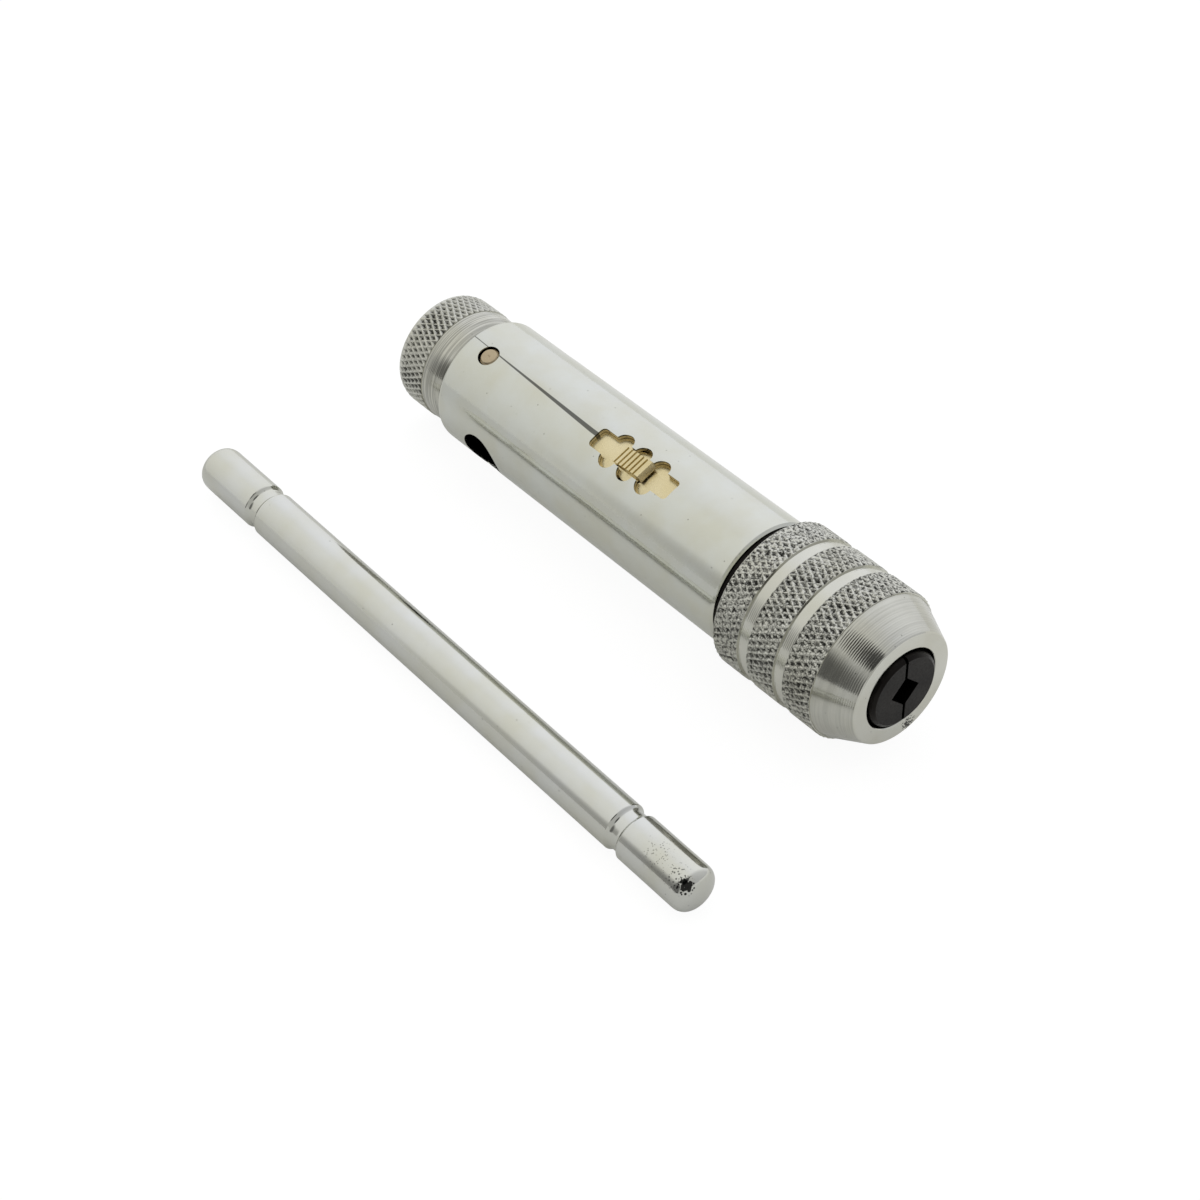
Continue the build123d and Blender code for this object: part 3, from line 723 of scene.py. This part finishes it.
# The inner cone leans 15 degrees and meets the thread bore here.
jaw_cone_rear = 7.718
bore = [(sleeve_length, recess_radius), (recess_front, recess_radius), (recess_front, thread_radius),
        (jaw_cone_rear, thread_radius), mouth]
bands = [band_rows(front + chamfer, rear - chamfer) for front, rear in band_edges]


def band_outline(rows):
    """Outline of one knurled band, with a chamfer at both edges."""
    crests = [(row, sleeve_radius) for row in rows]
    return [(rows[0] - chamfer, edge_radius), *crests, (rows[-1] + chamfer, edge_radius)]


sleeve_outline = [mouth, *mouth_rim, *nose_cone, *band_outline(bands[0])]
for ahead, rows in zip(bands, bands[1:]):
    sleeve_outline += [(ahead[-1] + chamfer, groove_floor), (rows[0] - chamfer, groove_floor)]
    sleeve_outline += band_outline(rows)
sleeve_outline += bore
print("rows in the three bands:", [len(rows) for rows in bands])

# %% Knurled sleeve
# For each band: depth of the pits in millimetres, how much it varies, and how torn the metal is.
band_knurls = ((0.3, 0.4, 0.8), (0.34, 0.4, 0.7), (0.3, 0.7, 1.0))
sleeve_land = 0.045
sleeve = turned_mesh(sleeve_outline, sleeve_steps)
soften(sleeve)
for rows, (depth, wobble, torn_edges) in zip(bands, band_knurls):
    knurl(sleeve, rows, sleeve_steps, depth, wobble, torn_edges, sleeve_land)
sleeve.transform(tool_place)
show_piece(finished_mesh(sleeve, "knurled_sleeve"), turned_nickel, "sleeve", "chuck_sleeve")

# %% [markdown]
# ## End knob
# The knob has a plug that sits in the body, with the cross hole and the ball catch drilled in it. Only
# the head is seen, so the plug is cut from a copy of the CAD piece, which keeps its holes, and the head
# is turned anew with its knurl. The two rims of the cut tell the radii that the head has to meet.

# %% Plug of the knob
cut_station = barrel_rear - 0.03
plug = bmesh.new()
plug.from_mesh(frame["nodes"]["end_knob"].data)
bmesh.ops.remove_doubles(plug, verts=plug.verts, dist=merge_distance)
plug.transform(tool_place.inverted())
cut = bmesh.ops.bisect_plane(plug, geom=plug.verts[:] + plug.edges[:] + plug.faces[:],
                             plane_co=(-cut_station * MM, 0, 0), plane_no=(-1, 0, 0),
                             clear_outer=True)
cut_radii = [radius_of(item) for item in cut["geom_cut"] if isinstance(item, bmesh.types.BMVert)]
bore_radius = min(cut_radii) / MM
plug_radius = max(cut_radii) / MM
print("plug radius and catch bore, mm:", round(plug_radius, 3), round(bore_radius, 3))

# %% [markdown]
# The knurl of the head was rolled first and its back edge rounded after it, so the rows follow the
# round and the pits fade out on it. By itself the head is open in front, where it meets the plug.

# %% Head of the knob
knob_radius = 8.04
knob_rear = 86.0
knob_round = 1.2
head_steps = 2 * 55
neck_front_radius = 7.35
neck_cone_rear = (78.2, 7.86)
neck_radius = 7.88
neck_rear = 80.6
knob_chamfer = 0.15
knob_rows = [neck_rear + knob_chamfer + row_pitch * index for index in range(7)]
round_stations = (85.7, 85.85, 85.95)
knob_land = 0.065


def rounded(station):
    """Radius of the head at a station, with its back edge rounded."""
    past = max(0.0, station - (knob_rear - knob_round))
    return knob_radius - knob_round + math.sqrt(knob_round ** 2 - past ** 2)


head_outline = [(barrel_rear, plug_radius), (barrel_rear, neck_front_radius), neck_cone_rear,
                (neck_rear, neck_radius), (neck_rear, knob_radius - 0.08)]
head_outline += [(station, rounded(station)) for station in (*knob_rows, *round_stations)]
head_outline += [(knob_rear, knob_radius - knob_round), (knob_rear, bore_radius + knob_chamfer),
                 (knob_rear - knob_chamfer, bore_radius), (barrel_rear, bore_radius)]
head = turned_mesh(head_outline, head_steps)
soften(head)
knurl(head, knob_rows, head_steps, depth=0.3, wobble=0.15, torn_edges=0.25, land=knob_land)
head_mesh = finished_mesh(head, "knob_head")

# %% [markdown]
# Both open shells go into one mesh. bridge_loops closes the two rings between them, one at the bore and
# one at the outside, so that the knob is a single closed piece as on the real tool.

# %% Head and plug joined
bore_rim = (0.5, 4.0)
outer_rim = (4.0, 8.0)
joint_angle = math.radians(25)
for attribute in ("pit", "torn"):
    plug.verts.layers.float.new(attribute)
plug.from_mesh(head_mesh)
loose = [edge for edge in plug.edges if edge.is_boundary]
for near, far in (bore_rim, outer_rim):
    rims = [edge for edge in loose if near * MM < radius_of(edge.verts[0]) < far * MM]
    bmesh.ops.bridge_loops(plug, edges=rims)
bmesh.ops.recalc_face_normals(plug, faces=plug.faces)
for edge in plug.edges:
    if edge.calc_face_angle(0.0) > joint_angle:
        edge.smooth = False
plug.transform(tool_place)
show_piece(finished_mesh(plug, "knurled_knob"), turned_nickel, "body", "end_knob")

# %% [markdown]
# ## Cross bar
# The bar is a ground rod. Its ends are flat with a soft round, for which a superellipse needs just one
# number. The two catch grooves are shallow, with a flat floor and steep walls without sharp edges: a
# cosine of a cube has that shape. The bar is the same at both ends, so half an outline is mirrored.

# %% Cross bar
bar_radius = 3.06
bar_half = 94.9 / 2
bar_steps = 96
# The grooves keep the places of the CAD, whose ends reach a little further than these rounded ones.
cad_half = 95.5 / 2
groove_from_end = 12.35
groove_place = cad_half - groove_from_end
groove_half = 1.15
groove_depth = 0.43
end_depth = 2.0
squareness = 2.6
end_points = 12
half_outline = [(bar_half, 0)]
for step in range(1, end_points + 1):
    turn = math.pi / 2 * step / end_points
    half_outline.append((bar_half - end_depth + end_depth * math.cos(turn) ** (2 / squareness),
                         bar_radius * math.sin(turn) ** (2 / squareness)))
for step in range(2 * end_points + 1):
    offset = 1 - step / end_points
    half_outline.append((groove_place + groove_half * offset,
                         bar_radius - groove_depth * (0.5 + 0.5 * math.cos(math.pi * offset ** 3))))
bar_outline = half_outline + [(-station, radius) for station, radius in reversed(half_outline)]
bar = turned_mesh(bar_outline, bar_steps)
soften(bar)
bar.transform(bar_place)
show_piece(finished_mesh(bar, "ground_cross_bar"), bar_nickel, "cross_bar", "cross_bar")

# %% [markdown]
# ## Body
# The CAD flares the mouths of the cross hole with a short cone, which leaves thin lips at both ends of
# the hole. The real hole has a plain edge, so a copy of the body slides the flare's points along the
# body until they reach the hole's wall. The copy's doubles are not merged, because that would lose the
# exact normals of the CAD skin, and a mirror finish shows every fault in them.

# %% Body with plain hole edges
barrel_radius = 8.7
hole_station = 67.8
hole_radius = 3.3
flare_reach = 0.75
skin_depth = 0.8
touching = 0.01
body_mesh = frame["nodes"]["barrel"].data.copy()
body_mesh.name = "plain_edged_body"
to_tool = tool_place.inverted()
drawn_in = 0
for vertex in body_mesh.vertices:
    point = to_tool @ vertex.co / MM
    along = point.x + hole_station
    if math.hypot(point.y, point.z) < barrel_radius - skin_depth:
        continue
    if not touching < math.hypot(along, point.z) - hole_radius < flare_reach:
        continue
    along = math.copysign(math.sqrt(max(0.0, hole_radius ** 2 - point.z ** 2)), along)
    vertex.co = tool_place @ (Vector((along - hole_station, point.y, point.z)) * MM)
    drawn_in += 1
show_piece(body_mesh, polished_nickel, "body", "barrel")
print("points drawn in to the hole's wall:", drawn_in)

# %% [markdown]
# ## The other pieces
# The rest of the tool is simple turned and milled metal and one rubber ring. The CAD model already
# shapes them well, so each piece keeps its CAD mesh and only gets the finish of the real one.

# %% CAD nodes with their finishes
finishes = {
    worn_brass: ["knob_pin"],
    satin_brass: ["selector_slide", "selector_button"],
    bare_steel: ["selector_spring", "detent_spring", "jaw_springs", "detent_ball", "rear_washer",
                 "pawl_cage", "pawl_pin", "pawl_rocker"],
    black_oxide: ["detent_screw", "spindle", "thrust_washer", "circlip", "jaw_left", "jaw_right"],
    rubber: ["sleeve_ring"],
}
for material, names in finishes.items():
    for name in names:
        cad = frame["nodes"][name].data
        cad.materials.clear()
        cad.materials.append(material)
    print(material.name, "on", ", ".join(names))
